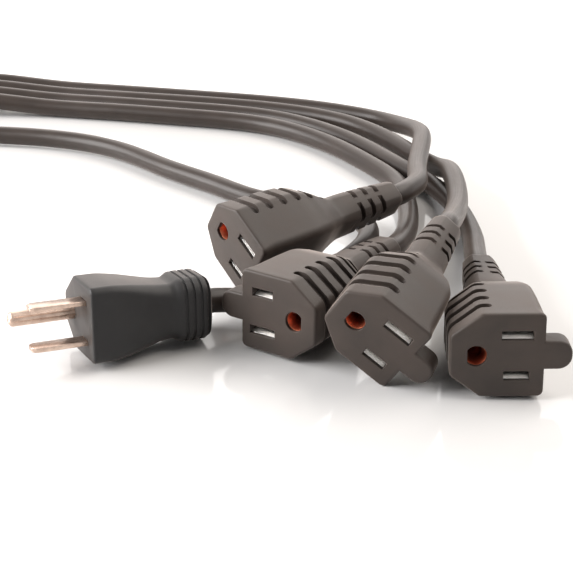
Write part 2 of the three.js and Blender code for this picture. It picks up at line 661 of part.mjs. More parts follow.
function buildJunction() {
  const group = new THREE.Group();
  addMesh(group, 'junction_housing', toGeometry(junctionHousing()), blackHousing());
  const level = CORD_LEVEL - CAVITY_HEIGHT / 2 + SPLICE_RADIUS + SEAT_GAP;
  ['hot', 'ground', 'neutral'].forEach((name, i) => {
    addMesh(group, `junction_${name}_splice`, placed(splice(), 0, (i - 1) * SPLICE_PITCH, level), copper());
  });
  group.position.set(JUNCTION_PLACE.x - LAYOUT_CENTRE.x, JUNCTION_PLACE.y - LAYOUT_CENTRE.y, 0);
  group.updateMatrixWorld(true);
  return group;
}

// Cords
function cordTube(points) {
  const path = new THREE.CatmullRomCurve3(points, false, 'centripetal');
  const section = [];
  for (let i = 0; i < CORD_SIDES; i += 1) {
    const angle = (i / CORD_SIDES) * 2 * Math.PI;
    section.push(new THREE.Vector2(Math.cos(angle), Math.sin(angle)).multiplyScalar(CORD_RADIUS));
  }
  const steps = Math.round(path.getLength() / CORD_STEP);
  return new THREE.ExtrudeGeometry(new THREE.Shape(section), {
    steps, bevelEnabled: false, extrudePath: path,
  });
}

function cordPoints(connector, housingLength, route, end) {
  const start = connector.localToWorld(new THREE.Vector3(CORD_AXIS_X, 0, -housingLength - SEAT_GAP));
  const out = connector.localToWorld(new THREE.Vector3(CORD_AXIS_X, 0, -housingLength - LEAD_OUT));
  const middle = route.map(([x, y, z]) => new THREE.Vector3(x - LAYOUT_CENTRE.x, y - LAYOUT_CENTRE.y, z));
  return [start, out, ...middle, ...end];
}

// The last two points of a cord, straight into the junction's bore
function junctionEnd(side, tipX, y) {
  const x = JUNCTION_PLACE.x - LAYOUT_CENTRE.x;
  const yWorld = JUNCTION_PLACE.y - LAYOUT_CENTRE.y + y;
  const inside = tipX - BORE_DEPTH + SEAT_GAP;
  return [
    new THREE.Vector3(x + side * (tipX + 8), yWorld, CORD_LEVEL - 0.4),
    new THREE.Vector3(x + side * (tipX + 1), yWorld, CORD_LEVEL),
    new THREE.Vector3(x + side * inside, yWorld, CORD_LEVEL),
  ];
}

const splitter = new THREE.Group();
splitter.name = 'power_cord_splitter';
const plug = buildPlug();
splitter.add(plug);
splitter.add(buildJunction());

const housing = toGeometry(receptacleHousing());
const TAIL_ORDER = ['receptacle_1', 'receptacle_3', 'receptacle_4', 'receptacle_2'];
const tailTip = JUNCTION_LENGTH / 2 + TAIL_STUB_LENGTH;
RECEPTACLES.forEach((place, i) => {
  const receptacle = buildReceptacle(place, housing);
  splitter.add(receptacle);
  const end = junctionEnd(1, tailTip, tailY(TAIL_ORDER.indexOf(place.name)));
  const points = cordPoints(receptacle, HOUSING_LENGTH, TAIL_ROUTES[place.name], end);
  addMesh(splitter, `tail_cord_${i + 1}`, cordTube(points), blackCord());
});

const leadEnd = junctionEnd(-1, JUNCTION_LENGTH / 2 + LEAD_STUB_LENGTH, 0);
const plugLength = PLUG_TAPER + COLLAR_LENGTH;
addMesh(splitter, 'lead_cord', cordTube(cordPoints(plug, plugLength, LEAD_ROUTE, leadEnd)), blackCord());

export default splitter;
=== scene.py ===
import math

import bpy
from mathutils import Matrix, Quaternion, Vector


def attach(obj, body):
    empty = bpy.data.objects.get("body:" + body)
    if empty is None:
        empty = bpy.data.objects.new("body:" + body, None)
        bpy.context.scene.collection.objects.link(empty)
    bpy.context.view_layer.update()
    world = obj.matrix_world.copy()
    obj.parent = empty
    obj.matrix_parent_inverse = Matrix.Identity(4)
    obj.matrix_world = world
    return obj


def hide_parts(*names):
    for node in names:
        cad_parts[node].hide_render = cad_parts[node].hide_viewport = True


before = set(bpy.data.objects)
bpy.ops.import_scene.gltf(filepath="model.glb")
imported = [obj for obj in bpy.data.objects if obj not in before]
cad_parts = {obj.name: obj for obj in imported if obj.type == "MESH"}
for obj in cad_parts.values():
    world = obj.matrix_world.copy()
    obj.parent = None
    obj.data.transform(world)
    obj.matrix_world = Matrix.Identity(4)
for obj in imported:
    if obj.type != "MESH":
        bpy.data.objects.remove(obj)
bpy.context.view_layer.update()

# Lengths are in millimetres until a mesh is placed; MM turns them into metres.
MM = 0.001
CORNER_STEPS = 7

# Blade and pin pattern
BLADE_SPACING = 12.7
GROUND_OFFSET = 11.9
BLADE_WIDTH = 6.3
BLADE_THICKNESS = 1.5
BLADE_LENGTH = 17.2
BLADE_ROOT = 8.0
BLADE_TIP = 1.3
BLADE_TIP_WIDTH = 1.25
BLADE_EDGE = 0.28
BLADE_FIT = 0.16
PIN_RADIUS = 2.4
PIN_LENGTH = 21.0
PIN_TIP = 1.7
PIN_FIT = 0.08

# Cord
CORD_RADIUS = 4.0
CORD_AXIS_X = 3.0
CORD_HIDDEN = 5.0
CORD_BORE = 4.12
CORD_BORE_DEPTH = 6.0
CORD_STEP = 3.0
CORD_STRAIGHT_OUT = 3.0

# How far the cutters reach out of what they cut, and the longest step between two sections of a skin
CUT_OVERLAP = 2.0
SECTION_STEP = 1.2

# Receptacle housing
FACE_HALF = 13.1
FACE_BACK = 8.0
FACE_CHAMFER_X = 10.6
FACE_FRONT = 19.6
FACE_FRONT_HALF = 6.2
FACE_RADIUS = 2.4
FACE_BACK_RADIUS = 1.8
FACE_RIM_EASE = 0.6
CHAMFER_SHIFT = 0.4
EDGE_ROUND = 0.8
SOFT_DEPTH = 5.0
SOFT_RADIUS = 4.2
SOFT_BACK_RADIUS = 3.0
BODY_STRAIGHT = 24.0
BODY_LENGTH = 42.0
BODY_TAPER = BODY_LENGTH - BODY_STRAIGHT
# Depths in the body, and how far its outline has blended into the neck's by then
BODY_BLENDS = (
    (BODY_STRAIGHT * 0.6, 0.015), (BODY_STRAIGHT, 0.06),
    (BODY_STRAIGHT + BODY_TAPER * 0.4, 0.32), (BODY_STRAIGHT + BODY_TAPER * 0.75, 0.76),
)
NECK_HALF = 7.2
NECK_RADIUS = 2.6
NECK_CUT = 0.42
NECK_ROUNDNESS = 0.6
RELIEF_LENGTH = 30.0
RELIEF_HALF = 7.6
RELIEF_START = 3.0
RELIEF_END = 2.5
RELIEF_END_HALF = 6.2
RELIEF_EDGE = 0.9
RELIEF_EDGE_EASE = 0.25
HOUSING_LENGTH = BODY_LENGTH + RELIEF_LENGTH
TAB_LENGTH = 8.0
TAB_HALF = 4.45
TAB_DEPTH = 7.0
TAB_ROOT = 3.0
TAB_CORNER_EASE = 0.4
GROOVE_COUNT = 6
GROOVE_PITCH = 6.1
GROOVE_FIRST = 6.9
GROOVE_WIDTH = 2.8
GROOVE_DEPTH = 1.35
GROOVE_START_X = 7.0
GROOVE_OVERRUN = 5.0
RELIEF_SLOTS = 3
RELIEF_SLOT_PITCH = 5.2
RELIEF_SLOT_FIRST = 9.5
RELIEF_SLOT_WIDTH = 2.0
RELIEF_SLOT_DEPTH = 1.9
RELIEF_SLOT_SHARE = 0.74
RELIEF_SLOT_CORNER = 0.9
SLOT_WIDTH = 2.9
SLOTS = (("hot", BLADE_SPACING / 2, 7.7), ("neutral", -BLADE_SPACING / 2, 9.4))
SLOT_DEPTH = 18.0
GROUND_BORE = 3.25
GROUND_FLAT = 2.55
GROUND_LIP = 1.5
GROUND_DEPTH = 22.0
CONTACT_SHEET = 0.45
CONTACT_SETBACK = 1.1
CONTACT_PLAY = 0.12
# The sprung leaf of a contact: share of its inner half width, at a depth under its top
CONTACT_LEAF = ((0.86, 1.0), (0.62, 2.2), (0.55, 3.2), (0.68, 4.6), (0.92, 6.2), (1.0, 8.0))
GROUND_CONTACT_PLAY = 0.15
GROUND_CONTACT_SETBACK = 0.9
# The sprung sleeve of the ground contact: how much wider than the pin it is, at a depth under its top
GROUND_LEAF = ((0.1, 1.0), (-0.35, 3.0), (-0.45, 4.5), (0.0, 7.5))
SEAT_GAP = 0.3

# Plug housing
PLUG_HALF = 12.0
PLUG_BACK = 8.6
PLUG_CHAMFER_X = 10.4
PLUG_FRONT = 20.4
PLUG_FRONT_HALF = 4.6
PLUG_STRAIGHT = 5.5
PLUG_TAPER = 27.5
PLUG_WAIST_HALF = 8.9
PLUG_WAIST_RADIUS = 4.4
PLUG_RIM_EASE = 0.5
PLUG_NARROWING = PLUG_TAPER - PLUG_STRAIGHT
# Depths in the plug, and how far its outline has blended into the waist's by then
PLUG_BLENDS = (
    (PLUG_STRAIGHT + PLUG_NARROWING * 0.3, 0.22), (PLUG_STRAIGHT + PLUG_NARROWING * 0.6, 0.62),
    (PLUG_STRAIGHT + PLUG_NARROWING * 0.85, 0.93),
)
COLLAR_LENGTH = 13.0
COLLAR_HALF = 10.3
COLLAR_RADIUS = 5.4
COLLAR_RISE = 4.0
COLLAR_FALL = 3.0
COLLAR_END_DROP = 1.6
COLLAR_END_RADIUS = 4.2
COLLAR_RIBS = 4
COLLAR_RIB_FIRST = 3.6
COLLAR_RIB_PITCH = 2.5
COLLAR_RIB_WIDTH = 1.0
COLLAR_RIB_DEPTH = 0.4
PLUG_LENGTH = PLUG_TAPER + COLLAR_LENGTH

# Junction block
TAIL_COUNT = 4
TAIL_PITCH = 11.5
JUNCTION = Vector((-114.965, 139.783, 0))
JUNCTION_LENGTH = 34.0
JUNCTION_HALF_WIDE = 24.75
JUNCTION_HALF_LEAD = 13.0
JUNCTION_HEIGHT = 15.0
JUNCTION_ROUND = 3.5
JUNCTION_LEAD_CORNER = 4.0
JUNCTION_SIDE_CORNER = 6.0
JUNCTION_TAIL_CORNER = 3.0
TAIL_STUB = 20.0
TAIL_STUB_RADIUS = 5.6
LEAD_STUB = 26.0
LEAD_STUB_RADIUS = 6.6
STUB_END_RADIUS = 4.9
STUB_RING_FIRST = 3.0
STUB_RING_PITCH = 6.5
STUB_PLAIN = 5.0
STUB_GROOVE_EASE = 0.15
STUB_BORE = 9.0
STUB_BORE_RADIUS = 4.3
WIRE_BORE_RADIUS = 2.7
WIRE_BORE_START = 10.0
CAVITY_HALF_LONG = 11.0
CAVITY_HALF_LEAD = 10.0
CAVITY_HALF_WIDE = 19.95
CAVITY_LOW = 3.5
CAVITY_HIGH = 11.5
CORD_LEVEL = 7.5

# Places: origin, then yaw, tilt and roll in degrees
PLACES = {
    "receptacle_1": ((59.535, -91.717, 14.4015), (-51.6, 2.4, 213.4)),
    "receptacle_2": ((67.535, -134.517, 13.9478), (-34.4, -2.6, -0.7)),
    "receptacle_3": ((104.335, -157.817, 14.2349), (-21.4, 6.4, 215.4)),
    "receptacle_4": ((141.835, -163.817, 14.1451), (-1.2, -2.8, 178.9)),
    "plug": ((13.035, -139.217, 13.5069), (-64.8, -3.2, 172.0)),
}
LAYOUT_CENTRE = Vector((-75.035, 500.217, 0))


# Mesh helpers
def closed_mesh(name, verts, faces):
    mesh = bpy.data.meshes.new(name)
    mesh.from_pydata([tuple(v) for v in verts], [], faces)
    mesh.update()
    obj = bpy.data.objects.new(name, mesh)
    bpy.context.scene.collection.objects.link(obj)
    return obj


def rounded(corners, steps=None):
    steps = steps or CORNER_STEPS
    points = []
    for i, (x, y, radius) in enumerate(corners):
        corner = Vector((x, y))
        a = (Vector(corners[i - 1][:2]) - corner).normalized()
        b = (Vector(corners[(i + 1) % len(corners)][:2]) - corner).normalized()
        half = math.acos(max(-1.0, min(1.0, a.dot(b)))) / 2
        centre = corner + (a + b).normalized() * (radius / math.sin(half))
        p = corner + a * (radius / math.tan(half)) - centre
        q = corner + b * (radius / math.tan(half)) - centre
        start = math.atan2(p.y, p.x)
        turn = math.atan2(q.y, q.x) - start
        turn -= 2 * math.pi if turn > math.pi else 0
        turn += 2 * math.pi if turn < -math.pi else 0
        for k in range(steps + 1):
            angle = start + turn * k / steps
            points.append(centre + radius * Vector((math.cos(angle), math.sin(angle))))
    return points


def six_sided(size, radius, inset=0.0, back_radius=None):
    back, half, chamfer_x, front, front_half = size
    back_radius = back_radius or radius
    h = half - inset
    shift = inset * CHAMFER_SHIFT
    return rounded([
        (-back + inset, -h, back_radius), (chamfer_x - shift, -h, radius),
        (front - inset, -front_half + shift, radius), (front - inset, front_half - shift, radius),
        (chamfer_x - shift, h, radius), (-back + inset, h, back_radius),
    ])


def neck(half, radius):
    cut = half * NECK_CUT
    x = CORD_AXIS_X
    return rounded([
        (x - half, -half, radius), (x + half - cut, -half, radius), (x + half, -half + cut, radius),
        (x + half, half - cut, radius), (x + half - cut, half, radius), (x - half, half, radius),
    ])


def ring(outline, radius):
    """The points of an outline round the cord, moved on to a circle."""
    centre = Vector((CORD_AXIS_X, 0))
    return [centre + (p - centre).normalized() * radius for p in outline]


def mixed(a, b, share):
    return [p.lerp(q, share) for p, q in zip(a, b)]


def slopes(xs, ys):
    """Tangents of a smooth curve that never overshoots its points."""
    steps = [(ys[i + 1] - ys[i]) / (xs[i + 1] - xs[i]) for i in range(len(xs) - 1)]
    result = [steps[0]]
    for a, b in zip(steps, steps[1:]):
        result.append(0.0 if a * b <= 0 else 2 * a * b / (a + b))
    result.append(steps[-1])
    return result


def smooth_sections(knots, step):
    """Sections (z, outline) between knots (depth, outline), smooth along the depth."""
    depths = [depth for depth, _ in knots]
    flat = [[c for p in outline for c in p] for _, outline in knots]
    tangents = list(zip(*[slopes(depths, column) for column in zip(*flat)]))
    sections = []
    for i in range(len(knots) - 1):
        span = depths[i + 1] - depths[i]
        count = max(1, math.ceil(span / step))
        for k in range(count):
            t = k / count
            h = (2 * t**3 - 3 * t**2 + 1, t**3 - 2 * t**2 + t, -2 * t**3 + 3 * t**2, t**3 - t**2)
            values = [
                h[0] * p + h[1] * span * m + h[2] * q + h[3] * span * n
                for p, m, q, n in zip(flat[i], tangents[i], flat[i + 1], tangents[i + 1])
            ]
            points = [Vector(values[j:j + 2]) for j in range(0, len(values), 2)]
            sections.append((-(depths[i] + span * t), points))
    sections.append((-depths[-1], list(knots[-1][1])))
    return sections


def loft(name, sections):
    count = len(sections[0][1])
    verts = [(p.x, p.y, z) for z, outline in sections for p in outline]
    faces = []
    for s in range(len(sections) - 1):
        for i in range(count):
            j = (i + 1) % count
            upper, lower = s * count, (s + 1) * count
            faces.append((upper + i, lower + i, lower + j, upper + j))
    faces.append(tuple(range(count)))
    last = (len(sections) - 1) * count
    faces.append(tuple(last + count - 1 - i for i in range(count)))
    return closed_mesh(name, verts, faces)


def lathe(name, profile, sides):
    """Turns (radius, z) points round z; they start and end on the axis."""
    verts, rows = [], []
    for r, z in profile:
        if r == 0:
            rows.append([len(verts)] * sides)
            verts.append((0, 0, z))
        else:
            rows.append(list(range(len(verts), len(verts) + sides)))
            for i in range(sides):
                angle = 2 * math.pi * i / sides
                verts.append((r * math.cos(angle), r * math.sin(angle), z))
    faces = []
    for low, high in zip(rows, rows[1:]):
        for i in range(sides):
            j = (i + 1) % sides
            face = [low[i], low[j], high[j], high[i]]
            face = [v for k, v in enumerate(face) if v != face[k - 1]]
            if len(face) > 2:
                faces.append(tuple(face))
    return closed_mesh(name, verts, faces)


def prism(name, outline, low, high):
    return loft(name, [(high, outline), (low, outline)])


def block(name, size, centre):
    x, y, z = (s / 2 for s in size)
    outline = [Vector((-x, -y)), Vector((x, -y)), Vector((x, y)), Vector((-x, y))]
    obj = prism(name, outline, -z, z)
    obj.data.transform(Matrix.Translation(centre))
    return obj


def turned(obj, matrix):
    obj.data.transform(matrix)
    return obj


def boolean(obj, other, operation="DIFFERENCE"):
    modifier = obj.modifiers.new("join", "BOOLEAN")
    modifier.object = other
    modifier.operation = operation
    modifier.solver = "MANIFOLD"
    graph = bpy.context.evaluated_depsgraph_get()
    mesh = bpy.data.meshes.new_from_object(obj.evaluated_get(graph))
    obj.modifiers.clear()
    old = obj.data
    obj.data = mesh
    bpy.data.meshes.remove(old)
    bpy.data.objects.remove(other)
    return obj


def edge_steps(size, steps=4):
    """Steps (down, inset) round an edge of that radius, from the flat end to the side."""
    for k in range(steps + 1):
        angle = math.radians(90 * k / steps)
        yield size * (1 - math.cos(angle)), size * (1 - math.sin(angle))


# Receptacle shapes
RECEPTACLE_SIZE = (FACE_BACK, FACE_HALF, FACE_CHAMFER_X, FACE_FRONT, FACE_FRONT_HALF)


def receptacle_skin(name, inset):
    face = six_sided(RECEPTACLE_SIZE, FACE_RADIUS, inset, FACE_BACK_RADIUS)
    soft = six_sided(RECEPTACLE_SIZE, SOFT_RADIUS, inset, SOFT_BACK_RADIUS)
    thin = neck(NECK_HALF - inset, NECK_RADIUS)
    thin = mixed(thin, ring(thin, NECK_HALF - inset), NECK_ROUNDNESS)
    knots = [(EDGE_ROUND, face), (SOFT_DEPTH, soft)]
    knots += [(depth, mixed(soft, thin, share)) for depth, share in BODY_BLENDS]
    knots += [
        (BODY_LENGTH, thin),
        (BODY_LENGTH + RELIEF_START, ring(thin, RELIEF_HALF - inset)),
        (HOUSING_LENGTH - RELIEF_END, ring(thin, RELIEF_END_HALF - inset)),
        (HOUSING_LENGTH - RELIEF_EDGE, ring(thin, RELIEF_END_HALF - inset - RELIEF_EDGE_EASE)),
        (HOUSING_LENGTH, ring(thin, RELIEF_END_HALF - inset - RELIEF_EDGE)),
    ]
    rim = []
    for down, more in edge_steps(EDGE_ROUND):
        eased = FACE_RIM_EASE * more
        outline = six_sided(RECEPTACLE_SIZE, FACE_RADIUS - eased, inset + more, FACE_BACK_RADIUS - eased)
        rim.append((-down, outline))
    return loft(name, rim[:-1] + smooth_sections(knots, SECTION_STEP))


def groove_cutters():
    half = GROOVE_WIDTH / 2
    reach = FACE_FRONT + GROOVE_OVERRUN
    tall = FACE_HALF + GROOVE_OVERRUN
    arc = [math.radians(90 + 180 * k / 10) for k in range(11)]
    outline = [Vector((reach, -half)), Vector((reach, half))] + [
        Vector((GROOVE_START_X + half + half * math.cos(a), half * math.sin(a))) for a in arc]
    cutter = None
    for i in range(GROOVE_COUNT):
        one = turned(prism("groove", outline, -tall, tall), Matrix.Rotation(math.pi / 2, 4, "X"))
        turned(one, Matrix.Translation((0, 0, -GROOVE_FIRST - i * GROOVE_PITCH)))
        cutter = boolean(cutter, one, "UNION") if cutter else one
    return boolean(cutter, receptacle_skin("core", GROOVE_DEPTH))


def relief_half(depth):
    share = min(1.0, max(0.0, (depth - RELIEF_START) / (RELIEF_LENGTH - RELIEF_START - RELIEF_END)))
    return RELIEF_HALF + (RELIEF_END_HALF - RELIEF_HALF) * share


def relief_slot(depth, angle):
    """A cutter with rounded ends for a slot of the strain relief, at an angle round the cord."""
    half = relief_half(depth)
    across = half * RELIEF_SLOT_SHARE * 2
    high = RELIEF_SLOT_WIDTH / 2
    corner = RELIEF_SLOT_CORNER
    outline = rounded([(-across / 2, -high, corner), (across / 2, -high, corner),
                       (across / 2, high, corner), (-across / 2, high, corner)], 4)
    cutter = prism("slot", outline, -CUT_OVERLAP, CUT_OVERLAP)
    obj = turned(cutter, Matrix.Rotation(math.pi / 2, 4, "X"))
    turned(obj, Matrix.Translation((0, half + CUT_OVERLAP - RELIEF_SLOT_DEPTH, 0)))
    turned(obj, Matrix.Rotation(angle, 4, "Z"))
    return turned(obj, Matrix.Translation((CORD_AXIS_X, 0, -BODY_LENGTH - depth)))


def tab():
    reach = FACE_BACK + TAB_LENGTH
    root = -FACE_BACK + TAB_ROOT

    def outline(inset):
        r = TAB_HALF - TAB_CORNER_EASE - inset
        return rounded([(-reach + inset, -TAB_HALF + inset, r), (root, -TAB_HALF + inset, 0.3),
                        (root, TAB_HALF - inset, 0.3), (-reach + inset, TAB_HALF - inset, r)], 10)

    upper = [(-down, outline(inset)) for down, inset in edge_steps(EDGE_ROUND)]
    lower = [(-TAB_DEPTH + down, outline(inset)) for down, inset in edge_steps(EDGE_ROUND)]
    return loft("tab", upper + lower[::-1])


def ground_mouth():
    limit = math.acos(GROUND_FLAT / GROUND_BORE)
    span = 2 * (math.pi - limit)
    angles = [limit + span * k / 28 for k in range(29)]
    outline = [GROUND_BORE * Vector((math.cos(a), math.sin(a))) for a in angles]
    obj = prism("mouth", outline, -GROUND_LIP, CUT_OVERLAP)
    return turned(obj, Matrix.Translation((GROUND_OFFSET, 0, 0)))


def cylinder(name, radius, low, high, x=0.0):
    obj = lathe(name, [(0, low), (radius, low), (radius, high), (0, high)], 32)
    return turned(obj, Matrix.Translation((x, 0, 0)))


def cord_bore(length):
    """The bore for the cord in the back end of a housing of that length."""
    return cylinder("cord_bore", CORD_BORE, -length - CUT_OVERLAP, -length + CORD_BORE_DEPTH, CORD_AXIS_X)


def receptacle_housing():
    body = receptacle_skin("receptacle_housing", 0)
    boolean(body, groove_cutters())
    boolean(body, tab(), "UNION")
    for i in range(RELIEF_SLOTS):
        for quarter in range(4):
            depth = RELIEF_SLOT_FIRST + i * RELIEF_SLOT_PITCH
            boolean(body, relief_slot(depth, math.radians(45 + 90 * quarter)))
    for _, y, length in SLOTS:
        boolean(body, block("slot", (length, SLOT_WIDTH, SLOT_DEPTH * 2), (0, y, 0)))
    boolean(body, ground_mouth())
    boolean(body, cylinder("bore", GROUND_BORE, -GROUND_DEPTH, -GROUND_LIP, GROUND_OFFSET))
    return boolean(body, cord_bore(HOUSING_LENGTH))


def blade_contact(name, y, length):
    half = SLOT_WIDTH / 2 - CONTACT_PLAY
    inner = half - CONTACT_SHEET
    bottom = -SLOT_DEPTH + SEAT_GAP
    top = -CONTACT_SETBACK
    inside = [(half - CONTACT_PLAY / 2, top)]
    inside += [(inner * share, top - down) for share, down in CONTACT_LEAF]
    inside.append((inner, bottom + CONTACT_SHEET))
    outline = [Vector((-half, top)), Vector((-half, bottom)), Vector((half, bottom)), Vector((half, top))]
    outline += [Vector(p) for p in inside] + [Vector((-x, z)) for x, z in reversed(inside)]
    reach = length - 2 * CONTACT_PLAY
    verts = [(side * reach / 2, y + p.x, p.y) for side in (1, -1) for p in outline]
    n = len(outline)
    faces = [(i, n + i, n + (i + 1) % n, (i + 1) % n) for i in range(n)]
    faces += [tuple(range(n)), tuple(range(2 * n - 1, n - 1, -1))]
    return closed_mesh(name, verts, faces)


def ground_contact(name):
    outer = GROUND_BORE - GROUND_CONTACT_PLAY
    inner = PIN_RADIUS + 0.05
    top = -GROUND_CONTACT_SETBACK
    bottom = -GROUND_DEPTH + SEAT_GAP
    well = bottom + CONTACT_SHEET
    profile = [(0, bottom), (outer, bottom), (outer, top), (outer - 0.08, top)]
    profile += [(inner + wider, top - down) for wider, down in GROUND_LEAF]
    profile += [(inner, well), (0, well)]
    return turned(lathe(name, profile, 40), Matrix.Translation((GROUND_OFFSET, 0, 0)))


# Plug shapes
PLUG_SIZE = (PLUG_BACK, PLUG_HALF, PLUG_CHAMFER_X, PLUG_FRONT, PLUG_FRONT_HALF)


def plug_skin(name, inset):
    face = six_sided(PLUG_SIZE, FACE_RADIUS, inset)
    waist = neck(PLUG_WAIST_HALF - inset, PLUG_WAIST_RADIUS)
    collar = neck(COLLAR_HALF - inset, COLLAR_RADIUS)
    knots = [(EDGE_ROUND, face), (PLUG_STRAIGHT, face)]
    knots += [(depth, mixed(face, waist, share)) for depth, share in PLUG_BLENDS]
    knots += [
        (PLUG_TAPER, waist),
        (PLUG_TAPER + 2.2, mixed(waist, collar, 0.85)),
        (PLUG_TAPER + COLLAR_RISE, collar),
        (PLUG_LENGTH - COLLAR_FALL, collar),
        (PLUG_LENGTH - 1, mixed(collar, waist, 0.7)),
        (PLUG_LENGTH, neck(PLUG_WAIST_HALF - COLLAR_END_DROP - inset, COLLAR_END_RADIUS)),
    ]
    rim = [(-down, six_sided(PLUG_SIZE, FACE_RADIUS - PLUG_RIM_EASE * more, inset + more))
           for down, more in edge_steps(EDGE_ROUND)]
    return loft(name, rim[:-1] + smooth_sections(knots, SECTION_STEP))


def plug_housing():
    body = plug_skin("plug_housing_skin", 0)
    ribs = None
    for i in range(COLLAR_RIBS):
        z = -PLUG_TAPER - COLLAR_RIB_FIRST - i * COLLAR_RIB_PITCH
        slab = block("rib", (50, 50, COLLAR_RIB_WIDTH), (CORD_AXIS_X, 0, z))
        ribs = boolean(ribs, slab, "UNION") if ribs else slab
    boolean(body, boolean(ribs, plug_skin("core", COLLAR_RIB_DEPTH)))
    for _, y, _ in SLOTS:
        pocket = (BLADE_WIDTH + BLADE_FIT, BLADE_THICKNESS + BLADE_FIT, 2 * BLADE_ROOT)
        boolean(body, block("pocket", pocket, (0, y, 0)))
    boolean(body, cylinder("bore", PIN_RADIUS + PIN_FIT, -BLADE_ROOT, CUT_OVERLAP, GROUND_OFFSET))
    return boolean(body, cord_bore(PLUG_LENGTH))


def blade(name, y):
    half = BLADE_WIDTH / 2
    root = -BLADE_ROOT + SEAT_GAP

    def outline(inset):
        shift = inset * CHAMFER_SHIFT
        shoulder = BLADE_LENGTH - BLADE_TIP - shift
        tip = BLADE_LENGTH - inset
        return rounded([(-half + inset, root, 0.05), (half - inset, root, 0.05),
                        (half - inset, shoulder, 0.7), (half - BLADE_TIP_WIDTH - shift, tip, 0.5),
                        (-half + BLADE_TIP_WIDTH + shift, tip, 0.5), (-half + inset, shoulder, 0.7)], 4)

    upper = [(BLADE_THICKNESS / 2 - down, outline(inset)) for down, inset in edge_steps(BLADE_EDGE, 3)]
    lower = [(-z, points) for z, points in reversed(upper)]
    obj = turned(loft(name, upper + lower), Matrix.Rotation(math.pi / 2, 4, "X"))
    return turned(obj, Matrix.Translation((0, y, 0)))


def ground_pin(name):
    profile = [(0, -BLADE_ROOT + SEAT_GAP), (PIN_RADIUS, -BLADE_ROOT + SEAT_GAP)]
    for i in range(13):
        angle = math.radians(90 * i / 12)
        z = PIN_LENGTH - PIN_TIP * (1 - math.sin(angle))
        profile.append((0 if i == 12 else PIN_RADIUS * math.cos(angle), z))
    return turned(lathe(name, profile, 40), Matrix.Translation((GROUND_OFFSET, 0, 0)))


# Junction shape
def tail_y(i):
    return ((TAIL_COUNT - 1) / 2 - i) * TAIL_PITCH


def along_x(obj, toward, x, y):
    turned(obj, Matrix.Rotation(toward * math.pi / 2, 4, "Y"))
    return turned(obj, Matrix.Translation((x, y, CORD_LEVEL)))


def stub(radius, length, toward, y):
    """A strain relief of the junction, with ring grooves along it."""
    profile = [(0, -4), (radius, -4), (radius, 0)]
    low = STUB_END_RADIUS - STUB_GROOVE_EASE
    eased = low + STUB_GROOVE_EASE
    for i in range(math.floor((length - STUB_PLAIN) / STUB_RING_PITCH)):
        start = STUB_RING_FIRST + i * STUB_RING_PITCH
        wide = radius + (STUB_END_RADIUS - radius) * start / length
        profile += [(wide, start), (eased, start + 0.1), (low, start + 0.3), (low, start + 1.3),
                    (eased, start + 1.5), (wide - 0.05, start + 1.6)]
    profile += [(STUB_END_RADIUS, length - 0.4), (STUB_END_RADIUS - 0.35, length), (0, length)]
    return along_x(lathe("stub", profile, 32), toward, toward * JUNCTION_LENGTH / 2, y)


def cross_bore(radius, low, high, toward, y):
    return along_x(cylinder("bore", radius, low, high), toward, 0, y)


def junction_housing():
    end = JUNCTION_LENGTH / 2

    def outline(inset):
        wide = JUNCTION_HALF_WIDE - inset
        lead = JUNCTION_HALF_LEAD - inset
        return rounded([
            (-end + inset, -lead, JUNCTION_LEAD_CORNER), (0, -wide, JUNCTION_SIDE_CORNER),
            (end - inset, -wide, JUNCTION_TAIL_CORNER), (end - inset, wide, JUNCTION_TAIL_CORNER),
            (0, wide, JUNCTION_SIDE_CORNER), (-end + inset, lead, JUNCTION_LEAD_CORNER),
        ], 6)

    upper = [(JUNCTION_HEIGHT - down, outline(inset)) for down, inset in edge_steps(JUNCTION_ROUND, 6)]
    lower = [(down, outline(inset)) for down, inset in edge_steps(JUNCTION_ROUND, 6)]
    body = loft("junction_skin", upper + lower[::-1])
    boolean(body, stub(LEAD_STUB_RADIUS, LEAD_STUB, -1, 0), "UNION")
    for i in range(TAIL_COUNT):
        boolean(body, stub(TAIL_STUB_RADIUS, TAIL_STUB, 1, tail_y(i)), "UNION")
    ways = [(LEAD_STUB, -1, 0)] + [(TAIL_STUB, 1, tail_y(i)) for i in range(TAIL_COUNT)]
    for length, toward, y in ways:
        tip = end + length
        boolean(body, cross_bore(STUB_BORE_RADIUS, tip - STUB_BORE, tip + 1, toward, y))
        boolean(body, cross_bore(WIRE_BORE_RADIUS, WIRE_BORE_START, tip, toward, y))
    long, lead, wide = CAVITY_HALF_LONG, CAVITY_HALF_LEAD, CAVITY_HALF_WIDE
    cavity = rounded([(-long, -lead, 1), (0, -wide, 2), (long, -wide, 1),
                      (long, wide, 1), (0, wide, 2), (-long, lead, 1)], 2)
    return boolean(body, prism("cavity", cavity, CAVITY_LOW, CAVITY_HIGH))


# Cord lines and tubes
def catmull(points, per=14):
    """A centripetal Catmull-Rom curve through points, as the solid cords have it."""
    pts = [2 * points[0] - points[1]] + list(points) + [2 * points[-1] - points[-2]]
    line = []
    for i in range(1, len(pts) - 2):
        p0, p1, p2, p3 = pts[i - 1:i + 3]
        d0, d1, d2 = (math.sqrt((b - a).length) for a, b in ((p0, p1), (p1, p2), (p2, p3)))
        t1 = ((p1 - p0) / d0 - (p2 - p0) / (d0 + d1) + (p2 - p1) / d1) * d1
        t2 = ((p2 - p1) / d1 - (p3 - p1) / (d1 + d2) + (p3 - p2) / d2) * d1
        for k in range(per):
            t = k / per
            squared = (3 * (p2 - p1) - 2 * t1 - t2) * t * t
            cubed = (2 * (p1 - p2) + t1 + t2) * t**3
            line.append(p1 + t1 * t + squared + cubed)
    line.append(pts[-2])
    for p in line:
        p.z = max(p.z, CORD_RADIUS + 0.05)
    return line


def line_length(line):
    return sum((b - a).length for a, b in zip(line, line[1:]))


